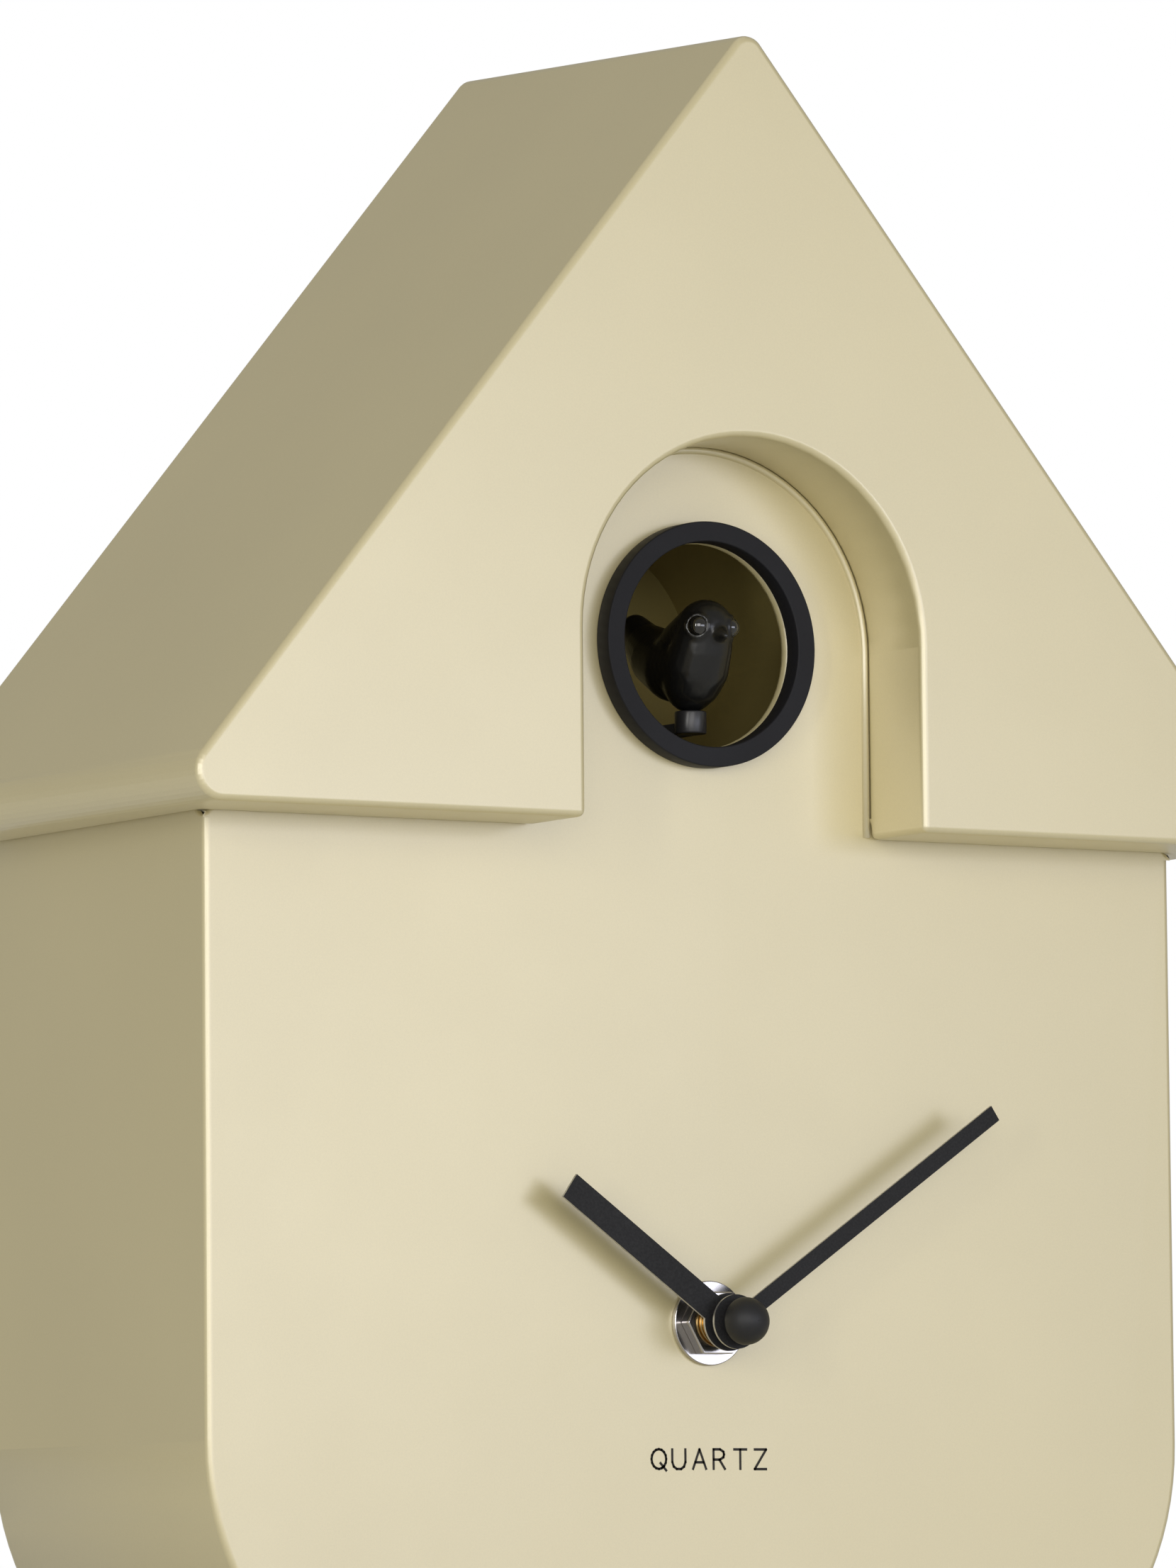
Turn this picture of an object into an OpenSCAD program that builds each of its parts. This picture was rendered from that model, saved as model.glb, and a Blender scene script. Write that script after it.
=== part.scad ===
// Cuckoo clock: gable roof shell over a lower case, quartz movement, sliding bird.
// Millimetres. X right, Y back, Z up. Origin: middle of the bottom of the bounding box.

/* [Case] */
// Width of the lower case
case_w = 200; // [190:1:206]
// Height of the lower case up to the underside of the roof
case_h = 156; // [150:1:170]
// Radius of the two lower corners of the case
corner_r = 50; // [40:1:55]
// Wall thickness of the moulded shells
wall = 2.5; // [2:0.1:3]
// Total depth from the roof front to the back
depth = 93.2; // [90:0.2:104]

/* [Roof] */
// Width of the roof at its underside, measured to the sharp corners
roof_w = 233.8; // [228:0.2:240]
// Height of the roof from its underside to the sharp apex
roof_rise = 139.8; // [130:0.2:150]
// How far the roof stands forward of the case
overhang = 17.5; // [16.6:0.1:20]
// Draft of the roof slopes, front to back
roof_flare = 3.7; // [0:0.1:5]
// Rounding of the eaves
eave_r = 5; // [4:0.1:6]
// Rounding of the apex
apex_r = 3.5; // [3.4:0.1:5]
// Radius of the arch in the roof front
arch_r = 34.8; // [32:0.1:37]

/* [Porthole and bird] */
// Height of the porthole centre above the underside of the roof
port_up = 32.7; // [31:0.1:36]
// Outer diameter of the porthole ring
ring_od = 43; // [41:0.1:46]
// Inner diameter of the porthole ring
ring_id = 36; // [35:0.1:38]
// How far the ring stands proud of the case
ring_t = 3.8; // [3:0.1:4.5]
// Depth of the niche behind the case face
niche_depth = 42; // [40:0.5:46]

/* [Hands] */
// Height of the hand arbor above the bottom of the case
arbor_up = 70.6; // [68:0.1:74]
// Length of the minute hand from the arbor
minute_len = 66.2; // [50:0.1:68]
// Length of the hour hand from the arbor
hour_len = 39.6; // [30:0.1:48]
// Width of the minute hand
minute_w = 3; // [2:0.1:4]
// Width of the hour hand
hour_w = 4.8; // [3:0.1:6]
// Thickness of the hands
hand_t = 0.5; // [0.4:0.05:0.6]
// Clockwise angle of the minute hand from twelve
minute_deg = 55.8; // [0:0.1:360]
// Clockwise angle of the hour hand from twelve
hour_deg = 305.6; // [0:0.1:360]

/* [Hidden] */
$fn = 64;

eps = 0.01;
gap = 0.3;
front_y = -depth / 2;
back_y = depth / 2;
face_y = front_y + overhang;
inner_y = face_y + wall;
seam_z = case_h;
port_z = seam_z + port_up;
axis_z = arbor_up;
roof_half = roof_w / 2;
slope = atan(roof_rise / roof_half);
port_r = ring_id / 2;

// back cover
cover_t = 2.5;
cover_sink = 1.5;
cover_out = back_y - cover_sink;
cover_in = cover_out - cover_t;
lip_up = 6;
keyhole_up = 84;
keyhole_r = 4.5;
keyhole_slot_r = 2.2;
keyhole_rise = 9;

// screw posts that carry the cover: [x, z]
post_r = 4;
post_hole_r = 1.3;
post_x = case_w / 2 - 9;
low_post_x = case_w / 2 - corner_r - 10;
case_posts = [
  [post_x, case_h - 36], [-post_x, case_h - 36], [post_x, 58], [-post_x, 58],
  [low_post_x, 8], [-low_post_x, 8]
];
panel_posts = [[62, seam_z + 42], [-62, seam_z + 42]];
top_post = [0, seam_z + roof_rise * 0.76];
all_posts = concat(case_posts, panel_posts, [top_post]);
// short bosses that join the roof to the case front
roof_bosses = [[62, seam_z + 26], [-62, seam_z + 26], [30, seam_z + 75], [-30, seam_z + 75]];
screw_r = 1.3;
screw_head_r = 3;

// half width that is free inside the roof at the top of the lip
lip_half = roof_half - (wall + 2 * gap) / sin(slope) - (lip_up + 2) / tan(slope);

// hands and arbor
bush_r = 4;
pipe_r = 2.7;
pipe_bore_r = 1.9;
arbor_r = 1.6;
stud_r = 1.2;
hour_y = face_y - 6.9;
minute_y = face_y - 9.4;
cap_r = 4.13;
cap_y = face_y - 12.1;
cap_neck_r = 2.9;
stud_len = 2.2;
minute_hub_r = 4.7;
hour_hub_r = 5;
minute_collar_r = 2.6;
hour_collar_r = 3.7;
collar_len = 1;
flange_r = 7.35;
flange_t = 1;
nut_r = 6.2;
nut_t = 2.4;
washer_r = 11;
washer_t = 1;

// movement
mov_w = 56;
mov_y = inner_y + 1;
mov_d = 15;
mov_wall = 1.5;
mov_in = mov_y + mov_wall;
mov_back = mov_y + mov_d;
cell_r = 7.1;
cell_len = 50;
cell_wall_z = axis_z - 11.5;
cell_z = axis_z - 19.2;
// gear train: centre distances and pitch radii
relief = 0.15;
cannon_pitch = 2.5;
motion_pitch = 7.5;
motion_pinion_pitch = 2;
hour_pitch = 8;
motion_x = cannon_pitch + motion_pitch;
minute_pitch = 9;
knob_pitch = 3;
knob_x = -(minute_pitch + knob_pitch);
train_pinion_pitch = 1.2;
train_pitch = 6;
train_hub_r = 0.6;
train_z = axis_z + minute_pitch + train_pinion_pitch;
rotor_pitch = 0.9;
rotor_x = (train_pitch + rotor_pitch) * cos(30);
rotor_z = train_z + (train_pitch + rotor_pitch) * sin(30);
coil_x = 18;
coil_y = mov_in + 7.6;

// bird, carriage and drive
niche_r = 24;
niche_wall = 1.5;
peg_y = face_y + 3.5;
peg_r = 2.8;
peg_z = port_z - port_r + peg_r;
peg_top = port_z - 11.2;
leg_y = face_y + 16;
leg_t = 4;
leg_w = 5;
travel_out = 4;
travel_in = 14;
rail_z = seam_z - 8;
rail_t = 2;
rail_len = cover_in - inner_y - 16;
block_w = 12;
block_z = rail_z + gap;
flange_z = seam_z + 2;
rack_z = seam_z + 4;
rack_x = 12;
rack_y = face_y + 9.1;
rack_len = 30;
pinion_pitch = 4;
pinion_x = rack_x + pinion_pitch;
pinion_y = face_y + 29.1;
shaft_r = 1.2;
motor_r = 10;
motor_h = 16;

// chime parts, all carried by the back cover
tray_x = 16 - case_w / 2;
tray_w = 49;
tray_z = case_h - 72;
tray_h = 61;
tray_d = 17;
tray_t = 1.5;
cell_pitch = 15;
spk_x = case_w / 2 - 43;
spk_z = case_h - 44;
spk_r = 28.5;
board_x = case_w / 2 - 66;
board_w = 50;
board_z = 44;
board_h = 34;
board_y = cover_in - 6.6;
board_t = 1.6;
board_top = board_y + board_t;
board_posts = [
  [board_x + 3, board_z + 3], [board_x + board_w - 3, board_z + 3],
  [board_x + 3, board_z + board_h - 3], [board_x + board_w - 3, board_z + board_h - 3]
];
board_post_r = 2.5;
board_screw_r = 0.9;
rib_t = 2;
rib_h = 3;
control_z = board_z + 17;
switch_x = board_x + 11;
button_x = board_x + 24;
volume_x = board_x + 38;
sensor_x = 30;
door_w = 52;
door_z = 42;
door_h = 59;
door_t = 2;
lead_r = 0.6;
lead_sides = 8;

// colours
gold = [0.78, 0.73, 0.60];
black = [0.12, 0.12, 0.13];
steel = [0.75, 0.76, 0.78];
brass = [0.78, 0.62, 0.30];
white = [0.90, 0.90, 0.88];

// ---- helpers ----
// a solid standing on the XZ plane, drawn in X and Z, from y to y + length
module along_y(y, length) {
  translate([0, y + length, 0])
    rotate([90, 0, 0])
      linear_extrude(height = length)
        children();
}

module rod_y(x, y, z, r, length) {
  translate([x, y + length, z])
    rotate([90, 0, 0])
      cylinder(r = r, h = length);
}

module block(x0, y0, z0, x1, y1, z1) {
  translate([x0, y0, z0])
    cube([x1 - x0, y1 - y0, z1 - z0]);
}

// outline of a toothed wheel: per tooth two root corners and two tip corners
function gear_points(tip_r, teeth, tooth_h) = [
  for (i = [0 : teeth - 1])
    for (c = [[-0.27, 0], [-0.17, 1], [0.17, 1], [0.27, 0]])
      let (a = (i + c[0]) * 360 / teeth, r = tip_r - tooth_h * (1 - c[1]))
        [r * cos(a), r * sin(a)]
];

module gear(tip_r, teeth, tooth_h, h) {
  linear_extrude(height = h)
    polygon(gear_points(tip_r, teeth, tooth_h));
}

// the same wheel turned to the Y axis, from y to y + h
module gear_y(x, y, z, tip_r, teeth, tooth_h, h) {
  translate([x, y + h, z])
    rotate([90, 0, 0])
      gear(tip_r, teeth, tooth_h, h);
}

// ---- outlines ----
// front view of the case; above the seam it keeps inside the roof
module case_outline(inset, top) {
  side = case_w / 2 - inset;
  lip_side = min(case_w / 2, lip_half) - inset;
  arc_x = case_w / 2 - corner_r;
  polygon(concat(
    [[-side, corner_r], [-arc_x, inset], [arc_x, inset], [side, corner_r]],
    lip_side < side
      ? [[side, seam_z], [lip_side, seam_z], [lip_side, top],
         [-lip_side, top], [-lip_side, seam_z], [-side, seam_z]]
      : [[side, top], [-side, top]]
  ));
  for (s = [-1, 1])
    translate([s * arc_x, corner_r])
      circle(r = corner_r - inset, $fn = 96);
}

module arch_outline(r) {
  translate([-r, seam_z - 1])
    square([2 * r, port_up + 1]);
  translate([0, port_z])
    circle(r = r, $fn = 96);
}

// three corner discs of the roof section at depth y, set in by inset
module roof_discs(y, inset) {
  part = (y - front_y) / depth;
  half = roof_half + part * roof_flare / sin(slope);
  rise = roof_rise + part * roof_flare / cos(slope);
  eave_x = half - eave_r / tan(slope / 2);
  for (s = [-1, 1])
    translate([s * eave_x, y, seam_z + eave_r])
      rotate([90, 0, 0])
        cylinder(r = eave_r - inset, h = eps, center = true, $fn = 32);
  translate([0, y, seam_z + rise - apex_r / cos(slope)])
    rotate([90, 0, 0])
      cylinder(r = apex_r - inset, h = eps, center = true, $fn = 32);
}

module roof_solid(y0, y1, inset) {
  hull() {
    roof_discs(y0, inset);
    roof_discs(y1, inset);
  }
}

// ---- shells ----
module roof_shell() {
  color(gold)
  difference() {
    union() {
      difference() {
        roof_solid(front_y, back_y, 0);
        roof_solid(front_y + wall, back_y + 1, wall);
      }
      along_y(front_y + eps, overhang - eps)
        intersection() {
          arch_outline(arch_r + wall);
          translate([-case_w / 2, seam_z])
            square([case_w, roof_rise]);
        }
      for (p = roof_bosses)
        rod_y(p[0], front_y + wall - eps, p[1], post_r, overhang - wall + eps);
      rod_y(top_post[0], front_y + wall - eps, top_post[1], post_r, cover_in - front_y - wall);
    }
    along_y(front_y - 1, overhang + 2)
      arch_outline(arch_r);
    block(-case_w / 2 - gap, face_y - gap, seam_z - 1, case_w / 2 + gap, back_y + 1, seam_z + wall + eps);
    for (p = roof_bosses)
      rod_y(p[0], face_y - 9, p[1], post_hole_r, 10);
    rod_y(top_post[0], cover_in - 12, top_post[1], post_hole_r, 13);
  }
}

module case_panel() {
  side = case_w / 2 - 1;
  reach = roof_half - wall / sin(slope) - 2;
  knee = (reach - side) * tan(slope);
  top = port_up + arch_r + 12.5;
  top_side = reach - top / tan(slope);
  polygon([
    [-side, seam_z - 1], [side, seam_z - 1], [side, seam_z + knee],
    [top_side, seam_z + top], [-top_side, seam_z + top], [-side, seam_z + knee]
  ]);
}

module case_shell() {
  color(gold)
  difference() {
    union() {
      difference() {
        along_y(face_y, back_y - face_y)
          case_outline(0, seam_z + lip_up);
        along_y(inner_y, depth)
          case_outline(wall, seam_z + lip_up + 1);
        block(-case_w / 2 - 1, face_y - 1, seam_z, case_w / 2 + 1, inner_y, seam_z + lip_up + 1);
      }
      along_y(face_y, wall)
        case_panel();
      for (p = concat(case_posts, panel_posts))
        rod_y(p[0], inner_y - eps, p[1], post_r, cover_in - inner_y + eps);
      for (s = [-1, 1])
        for (z = [case_h - 36, 58])
          block(s > 0 ? post_x + 2 : -case_w / 2 + wall / 2, inner_y - eps, z - 1,
                s > 0 ? case_w / 2 - wall / 2 : -post_x - 2, cover_in, z + 1);
      for (s = [-1, 1])
        block(s * low_post_x - 1, inner_y - eps, wall / 2, s * low_post_x + 1, cover_in, 6);
    }
    rod_y(0, face_y - 1, port_z, port_r, wall + 2);
    rod_y(0, face_y - 1, axis_z, bush_r + 0.2, wall + 2);
    for (p = concat(case_posts, panel_posts))
      rod_y(p[0], cover_in - 12, p[1], post_hole_r, 13);
    for (p = roof_bosses)
      rod_y(p[0], face_y - 1, p[1], screw_r + gap, wall + 2);
    translate([sensor_x, 0, -1])
      cylinder(r = 2.6, h = wall + 2);
  }
}

module cover_outline() {
  half = roof_half + roof_flare * 0.95 / sin(slope) - (wall + 0.6) / sin(slope);
  low = lip_up + 1;
  high = roof_rise - 4;
  case_outline(wall + gap, seam_z + low + 1);
  polygon([
    [-(half - low / tan(slope)), seam_z + low], [half - low / tan(slope), seam_z + low],
    [half - high / tan(slope), seam_z + high], [-(half - high / tan(slope)), seam_z + high]
  ]);
}

module back_cover() {
  color(black)
  difference() {
    along_y(cover_in, cover_t)
      cover_outline();
    for (p = all_posts)
      rod_y(p[0], cover_in - 1, p[1], screw_r + gap, cover_t + 2);
    rod_y(0, cover_in - 1, seam_z + keyhole_up, keyhole_r, cover_t + 2);
    rod_y(0, cover_in - 1, seam_z + keyhole_up + keyhole_rise, keyhole_slot_r, cover_t + 2);
    block(-keyhole_slot_r, cover_in - 1, seam_z + keyhole_up,
          keyhole_slot_r, cover_out + 1, seam_z + keyhole_up + keyhole_rise);
    for (ring = [0 : 3])
      for (i = [0 : max(ring * 6 - 1, 0)])
        rod_y(spk_x + ring * 6.5 * cos(i * 60 / max(ring, 1)), cover_in - 1,
              spk_z + ring * 6.5 * sin(i * 60 / max(ring, 1)), 1.5, cover_t + 2);
    block(-door_w / 2, cover_in - 1, door_z, door_w / 2, cover_out + 1, door_z + door_h);
    block(tray_x + tray_t, cover_in - 1, tray_z + tray_t,
          tray_x + tray_w - tray_t, cover_out + 1, tray_z + tray_h - tray_t);
    block(switch_x - 5, cover_in - 1, control_z - 1.8, switch_x + 5, cover_out + 1, control_z + 1.8);
    rod_y(button_x, cover_in - 1, control_z, 2.8, cover_t + 2);
    rod_y(volume_x, cover_in - 1, control_z, 3.8, cover_t + 2);
  }
}

// stand-offs of the chime board and the ribs beside the door, on the inner side of the cover
module cover_ribs() {
  color(black) {
    difference() {
      for (p = board_posts)
        rod_y(p[0], board_top, p[1], board_post_r, cover_in - board_top);
      for (p = board_posts)
        rod_y(p[0], board_top - 1, p[1], board_screw_r, 5);
    }
    for (x = [-door_w / 2 - rib_t - 0.5, door_w / 2 + 0.5])
      block(x, cover_in - rib_h, door_z, x + rib_t, cover_in, door_z + door_h);
  }
}

// pan head screw pointing to the front, under side of the head at y
module screw(x, y, z, length) {
  difference() {
    rod_y(x, y, z, screw_head_r, 1.4);
    block(x - 1.8, y + 0.7, z - 0.3, x + 1.8, y + 2, z + 0.3);
    block(x - 0.3, y + 0.7, z - 1.8, x + 0.3, y + 2, z + 1.8);
  }
  rod_y(x, y - length, z, screw_r, length + eps);
}

module cover_screws() {
  color(steel)
  for (p = all_posts)
    screw(p[0], cover_out, p[1], 10);
}

module roof_screws() {
  color(steel)
  for (p = roof_bosses)
    screw(p[0], inner_y, p[1], 9);
}

module porthole_ring() {
  color(black)
  difference() {
    rod_y(0, face_y - ring_t, port_z, ring_od / 2, ring_t);
    rod_y(0, face_y - ring_t - 1, port_z, port_r, ring_t + 2);
  }
}

module niche_screw_at() {
  for (a = [90, 210, 330])
    translate([(niche_r + 4.5) * cos(a), 0, (niche_r + 4.5) * sin(a)])
      children();
}

module bird_niche() {
  color(gold)
  difference() {
    union() {
      rod_y(0, inner_y, port_z, niche_r + niche_wall, niche_depth - wall);
      rod_y(0, inner_y, port_z, niche_r + 8, 2);
    }
    rod_y(0, inner_y - 1, port_z, niche_r, niche_depth - wall - niche_wall + 1);
    block(-leg_w / 2 - 0.5, leg_y - travel_out - 0.5, port_z - niche_r - 5,
          leg_w / 2 + 0.5, leg_y + leg_t + travel_in + 0.5, port_z - niche_r + 5);
    translate([0, 0, port_z])
      niche_screw_at()
        rod_y(0, inner_y - 1, 0, 1.1, 4);
  }
}

module niche_screws() {
  color(steel)
  translate([0, 0, port_z])
    niche_screw_at()
      union() {
        rod_y(0, inner_y + 2, 0, 2, 1.2);
        rod_y(0, inner_y, 0, 1.1, 2 + eps);
      }
}

// ---- movement ----
module movement_front() {
  low = axis_z - mov_w / 2;
  color(black)
  difference() {
    union() {
      difference() {
        block(-mov_w / 2, mov_y, low, mov_w / 2, mov_back - mov_wall, axis_z + mov_w / 2);
        block(-mov_w / 2 + mov_wall, mov_in, cell_wall_z + mov_wall,
              mov_w / 2 - mov_wall, mov_back, axis_z + mov_w / 2 - mov_wall);
        block(-mov_w / 2 + mov_wall, mov_in, low + mov_wall, mov_w / 2 - mov_wall, mov_back, cell_wall_z);
      }
      rod_y(motion_x, mov_in - eps, axis_z, 0.8, 4.4);
    }
    rod_y(0, mov_y - 1, axis_z, bush_r, mov_wall + 2);
    block(-2, mov_in + 0.6, low - 1, 2, mov_back, low + mov_wall + 1);
  }
}

module movement_rear() {
  color(black)
  difference() {
    block(-mov_w / 2, mov_back - mov_wall, cell_wall_z, mov_w / 2, mov_back, axis_z + mov_w / 2);
    rod_y(knob_x, mov_back - 3, axis_z, 2, 5);
    for (x = [-mov_w / 2 + 5, mov_w / 2 - 5])
      rod_y(x, mov_back - 0.6, axis_z + 22, 1.5, 1);
  }
}

module threaded_bush() {
  color(brass)
  difference() {
    union() {
      rod_y(0, face_y - 4.4, axis_z, bush_r - 0.25, mov_in - face_y + 4.4);
      for (i = [0 : 8])
        rod_y(0, face_y - 4.2 + i * 0.9, axis_z, bush_r, 0.45);
    }
    rod_y(0, face_y - 6, axis_z, pipe_r + gap, 14);
  }
}

module flange_washer() {
  color(steel)
  difference() {
    rod_y(0, face_y - flange_t, axis_z, flange_r, flange_t);
    rod_y(0, face_y - 2, axis_z, bush_r, 3);
  }
}

module hex_nut() {
  color(steel)
  difference() {
    translate([0, face_y - flange_t, axis_z])
      rotate([90, 0, 0])
        cylinder(r = nut_r, h = nut_t, $fn = 6);
    rod_y(0, face_y - 5, axis_z, bush_r, 6);
  }
}

module rubber_washer() {
  color(black)
  difference() {
    rod_y(0, inner_y, axis_z, washer_r, washer_t);
    rod_y(0, inner_y - 1, axis_z, bush_r, 3);
  }
}

module aa_cell() {
  cylinder(r = cell_r, h = cell_len - 1);
  cylinder(r = 2.75, h = cell_len);
}

module movement_cell() {
  color(white)
  translate([-cell_len / 2 + 0.5, mov_in + cell_r + 0.3, cell_z])
    rotate([0, 90, 0])
      aa_cell();
}

module movement_contacts() {
  color(steel)
  translate([-mov_w / 2 + mov_wall + 0.6 - eps, mov_in + cell_r + 0.3, cell_z])
    rotate([0, 90, 0])
      cylinder(r = 3, h = 1.3);
  color(steel)
  for (s = [-1, 1])
    block(s > 0 ? cell_len / 2 + 0.6 : -mov_w / 2 + mov_wall, mov_in + 1, cell_z - 5,
          s > 0 ? cell_len / 2 + 1.2 : -mov_w / 2 + mov_wall + 0.6, mov_back - 2, cell_z + 5);
}

module coil() {
  color([0.72, 0.40, 0.22])
  difference() {
    union() {
      translate([coil_x, coil_y, axis_z + 2])
        cylinder(r = 3.4, h = 18);
      for (z = [axis_z + 1, axis_z + 20])
        block(coil_x - 4, coil_y - 3.3, z, coil_x + 4, coil_y + 3.3, z + 1);
    }
    block(coil_x - 1, coil_y - 1, axis_z, coil_x + 1, coil_y + 1, axis_z + 22);
  }
}

module stator() {
  color(steel)
  difference() {
    union() {
      block(coil_x - 1, coil_y - 1, axis_z - 1, coil_x + 1, coil_y + 1, axis_z + 23);
      block(2, mov_in + 9.2, rotor_z - 5, 13, mov_in + 10, rotor_z + 5);
      block(11, mov_in + 9.2, rotor_z + 3, 13, mov_in + 10, axis_z + 23);
      block(11, mov_in + 9.2, axis_z + 21.2, coil_x + 1, mov_in + 10, axis_z + 23);
      block(coil_x - 1, coil_y, axis_z + 21.2, coil_x + 1, mov_in + 10, axis_z + 23);
    }
    rod_y(rotor_x, mov_in + 8, rotor_z, 3.1, 4);
  }
}

module rotor() {
  color(steel)
  rod_y(rotor_x, mov_in + 8.8, rotor_z, 2.5, 2);
  color(white)
  gear_y(rotor_x, mov_in + 6.4, rotor_z, rotor_pitch - relief, 8, 0.2, 2.4 + eps);
}

module train_wheel() {
  color(white)
  union() {
    rod_y(0, mov_in + 4.5, train_z, train_hub_r, 3.3);
    gear_y(0, mov_in + 4.9, train_z, train_pinion_pitch - relief, 8, 0.3, 1.7 + eps);
    gear_y(0, mov_in + 6.6, train_z, train_pitch - relief, 40, 0.5, 0.8);
  }
}

module minute_arbor() {
  color(steel)
  rod_y(0, minute_y - 0.4, axis_z, arbor_r, mov_in + 6.2 - minute_y + 0.4);
  color(steel)
  rod_y(0, minute_y - stud_len, axis_z, stud_r, stud_len);
  color(white)
  gear_y(0, mov_in + 2.7, axis_z, cannon_pitch - relief, 12, 0.5, 1.3);
  color(white)
  gear_y(0, mov_in + 5, axis_z, minute_pitch - relief, 60, 0.5, 0.8);
}

// hand lying in the XZ plane, pointing to clockwise angle a, from y to y + hand_t
module hand_blade(a, length, tip_w, hub_r, y) {
  translate([0, y, axis_z])
    rotate([0, a, 0]) {
      block(-tip_w / 2, 0, 0, tip_w / 2, hand_t, length);
      rod_y(0, 0, 0, hub_r, hand_t);
    }
}

module minute_hand() {
  color(black)
  difference() {
    union() {
      hand_blade(minute_deg, minute_len, minute_w, minute_hub_r, minute_y);
      rod_y(0, minute_y + hand_t - eps, axis_z, minute_collar_r, collar_len);
    }
    rod_y(0, minute_y - 1, axis_z, arbor_r, 4);
  }
}

// domed cap on a neck, pushed over the stud of the arbor
module hand_cap() {
  color(black)
  difference() {
    union() {
      difference() {
        translate([0, cap_y, axis_z])
          rotate([90, 0, 0])
            sphere(r = cap_r);
        block(-6, cap_y + 0.3, axis_z - 6, 6, cap_y + 6, axis_z + 6);
      }
      rod_y(0, cap_y, axis_z, cap_neck_r, minute_y - cap_y);
    }
    rod_y(0, minute_y - stud_len, axis_z, stud_r, stud_len + 1);
    rod_y(0, minute_y - 0.4, axis_z, arbor_r, 1);
  }
}

module hour_wheel() {
  color(white)
  difference() {
    union() {
      rod_y(0, face_y - 7.2, axis_z, pipe_r, mov_in + 1.8 - face_y + 7.2);
      gear_y(0, mov_in + 1, axis_z, hour_pitch - relief, 40, 0.5, 0.8);
    }
    rod_y(0, face_y - 9, axis_z, pipe_bore_r, 20);
  }
}

module hour_hand() {
  color(black)
  difference() {
    union() {
      hand_blade(hour_deg, hour_len, hour_w, hour_hub_r, hour_y);
      rod_y(0, hour_y + hand_t - eps, axis_z, hour_collar_r, collar_len);
    }
    rod_y(0, hour_y - 1, axis_z, pipe_r, 4);
  }
}

module motion_wheel() {
  color(white)
  difference() {
    union() {
      gear_y(motion_x, mov_in + 2.9, axis_z, motion_pitch - relief, 36, 0.5, 0.9);
      gear_y(motion_x, mov_in + 0.9, axis_z, motion_pinion_pitch - relief, 10, 0.4, 2 + eps);
    }
    rod_y(motion_x, mov_in, axis_z, 1.1, 6);
  }
}

module set_knob() {
  color(black)
  union() {
    gear_y(knob_x, mov_in + 4.9, axis_z, knob_pitch - relief, 18, 0.5, 1);
    rod_y(knob_x, mov_in + 5, axis_z, 1.5, mov_back - mov_in - 4);
    gear_y(knob_x, mov_back + 0.6, axis_z, 7, 24, 0.5, 5.5);
  }
}

// ---- bird and its drive ----
module ball(y, z, r) {
  translate([0, face_y + y, port_z + z])
    sphere(r = r, $fn = 28);
}

module eye_at(s) {
  translate([s * 3.7, face_y - 4.1, port_z + 2.9])
    children();
}

module bird_body() {
  color(black)
  difference() {
    union() {
      hull() {
        ball(-1.4, 2.6, 5);
        ball(4.2, -3.4, 6);
      }
      hull() {
        ball(4.2, -3.4, 6);
        ball(12, -1, 4.8);
      }
      hull() {
        ball(12, -1, 4.8);
        ball(21.4, 5.6, 2.2);
      }
      hull() {
        ball(4, -7, 4);
        translate([0, peg_y, peg_top])
          cylinder(r = peg_r + 0.2, h = 0.2, $fn = 32);
      }
    }
    for (s = [-1, 1])
      eye_at(s)
        sphere(r = 1.9, $fn = 32);
    translate([0, face_y - 9.6, port_z + 1])
      rotate([-90, 0, 0])
        cylinder(r1 = 0.3, r2 = 2, h = 4.4, $fn = 32);
  }
}

module bird_eyes() {
  color(steel)
  for (s = [-1, 1])
    eye_at(s)
      sphere(r = 1.9, $fn = 32);
}

module bird_beak() {
  color(black)
  translate([0, face_y - 9.6, port_z + 1])
    rotate([-90, 0, 0])
      cylinder(r1 = 0.3, r2 = 2, h = 4.4, $fn = 32);
}

module bird_peg() {
  color(black)
  translate([0, peg_y, peg_z])
    cylinder(r = peg_r, h = peg_top - peg_z);
}

module carriage() {
  color(black)
  union() {
    difference() {
      block(-2, peg_y, peg_z, 2, leg_y + leg_t, peg_z + 2);
      translate([0, peg_y, peg_z - 1])
        cylinder(r = peg_r, h = 4);
    }
    block(-leg_w / 2, leg_y, rack_z - eps, leg_w / 2, leg_y + leg_t, peg_z + 2);
    block(-block_w / 2, rack_y, block_z, block_w / 2, rack_y + rack_len, flange_z + eps);
    block(-block_w / 2, rack_y, flange_z, rack_x - relief - 0.8, rack_y + rack_len, rack_z);
    for (i = [0 : 14])
      block(rack_x - relief - 0.8 - eps, rack_y + 0.5 + i * 2, flange_z,
            rack_x - relief, rack_y + 1.5 + i * 2, rack_z);
  }
}

module drive_pinion() {
  color(white)
  translate([pinion_x, pinion_y, flange_z - 0.3])
    gear(pinion_pitch - relief, 12, 0.8, 2.6);
  color(steel)
  translate([pinion_x, pinion_y, rail_z - rail_t - 6])
    cylinder(r = shaft_r, h = flange_z - rail_z + rail_t + 6);
}

module slide_rail() {
  base_z = rail_z - rail_t;
  color(black)
  difference() {
    union() {
      block(-10, inner_y, base_z, pinion_x + 12, inner_y + rail_len, rail_z);
      for (s = [-1, 1])
        translate([s * (block_w / 2 + gap + 1) - 1, inner_y, rail_z - eps])
          cube([2, rail_len, 8]);
      block(-10, inner_y, base_z - 10, pinion_x + 12, inner_y + 2, base_z + eps);
    }
    translate([pinion_x, pinion_y, base_z - 1])
      cylinder(r = shaft_r + gap, h = rail_t + 2);
  }
}

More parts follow.
